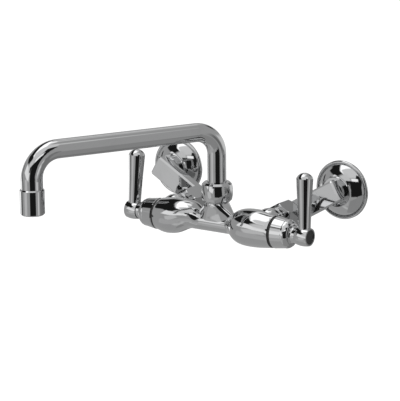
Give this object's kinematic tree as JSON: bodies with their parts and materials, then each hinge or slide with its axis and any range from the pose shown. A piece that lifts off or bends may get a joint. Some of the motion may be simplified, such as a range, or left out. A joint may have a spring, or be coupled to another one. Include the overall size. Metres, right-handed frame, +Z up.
{
  "type": "pre rinse faucet",
  "caption": "Chrome wall-mounted sink faucet with a swinging gooseneck-arm spout, lever handles that turn a quarter turn, and swivel supply arms behind wall flanges.",
  "frame": {"origin": "on the wall plane, midway between the two wall inlets", "axes": "+X to the user's right, +Y into the wall, +Z up"},
  "size_m": [0.2636, 0.2694, 0.1237],
  "materials": {
    "chrome": "polished chrome plate on cast, turned or drawn brass",
    "brass": "machined, unplated",
    "rubber": "moulded, matt",
    "dark_washer": "cut from hard fibre-filled rubber sheet, matt",
    "disc_ceramic": "lapped white ceramic",
    "spring_steel": "stamped stainless spring steel",
    "stainless": "machined or woven stainless steel",
    "button_black": "glossy moulded cap",
    "slip_plastic": "cut from white slip plastic",
    "core_plastic": "moulded grey plastic"
  },
  "bodies": {
    "faucet_body": {"valve_body": "chrome", "spout_nut": "chrome", "left_seat_seal": "rubber", "left_fixed_disc": "disc_ceramic", "left_cartridge_body": "brass", "left_bonnet": "chrome", "left_bonnet_washer": "dark_washer", "left_union_nut": "chrome", "left_union_washer": "rubber", "right_seat_seal": "rubber", "right_fixed_disc": "disc_ceramic", "right_cartridge_body": "brass", "right_bonnet": "chrome", "right_bonnet_washer": "dark_washer", "right_union_nut": "chrome", "right_union_washer": "rubber"},
    "spout": {"spout_tube": "chrome", "spout_foot": "brass", "spout_orings": "rubber", "spout_slip_washer": "slip_plastic", "aerator_shell": "chrome", "aerator_core": "core_plastic", "aerator_screens": "stainless", "aerator_washer": "rubber"},
    "left_handle": {"left_handle_hub": "chrome", "left_lever": "chrome", "left_handle_screw": "stainless", "left_index_button": "button_black", "left_spindle": "brass", "left_moving_disc": "disc_ceramic", "left_spindle_oring": "rubber", "left_circlip": "spring_steel"},
    "left_arm": {"left_supply_arm": "chrome", "left_wall_flange": "chrome"},
    "right_handle": {"right_handle_hub": "chrome", "right_lever": "chrome", "right_handle_screw": "stainless", "right_index_button": "button_black", "right_spindle": "brass", "right_moving_disc": "disc_ceramic", "right_spindle_oring": "rubber", "right_circlip": "spring_steel"},
    "right_arm": {"right_supply_arm": "chrome", "right_wall_flange": "chrome"}
  },
  "joints": [
    {"name": "spout_swing", "type": "hinge", "parent": "faucet_body", "child": "spout", "pos_m": [0, -0.0762, 0.00131], "axis": [0, 0, 1], "range_deg": [-78, 132]},
    {"name": "left_lever_turn", "type": "hinge", "parent": "faucet_body", "child": "left_handle", "pos_m": [-0.1, -0.0762, -0.03219], "axis": [1, 0, 0], "range_deg": [0, 90]},
    {"name": "right_lever_turn", "type": "hinge", "parent": "faucet_body", "child": "right_handle", "pos_m": [0.1, -0.0762, -0.03219], "axis": [1, 0, 0], "range_deg": [0, 90]},
    {"name": "left_arm_swivel", "type": "hinge", "parent": "faucet_body", "child": "left_arm", "pos_m": [-0.0577, -0.036, -0.02559], "axis": [0, 1, 0], "range_deg": [-120.25, 59.75]},
    {"name": "right_arm_swivel", "type": "hinge", "parent": "faucet_body", "child": "right_arm", "pos_m": [0.0577, -0.036, -0.02559], "axis": [0, 1, 0], "range_deg": [-59.75, 120.25]}
  ]
}
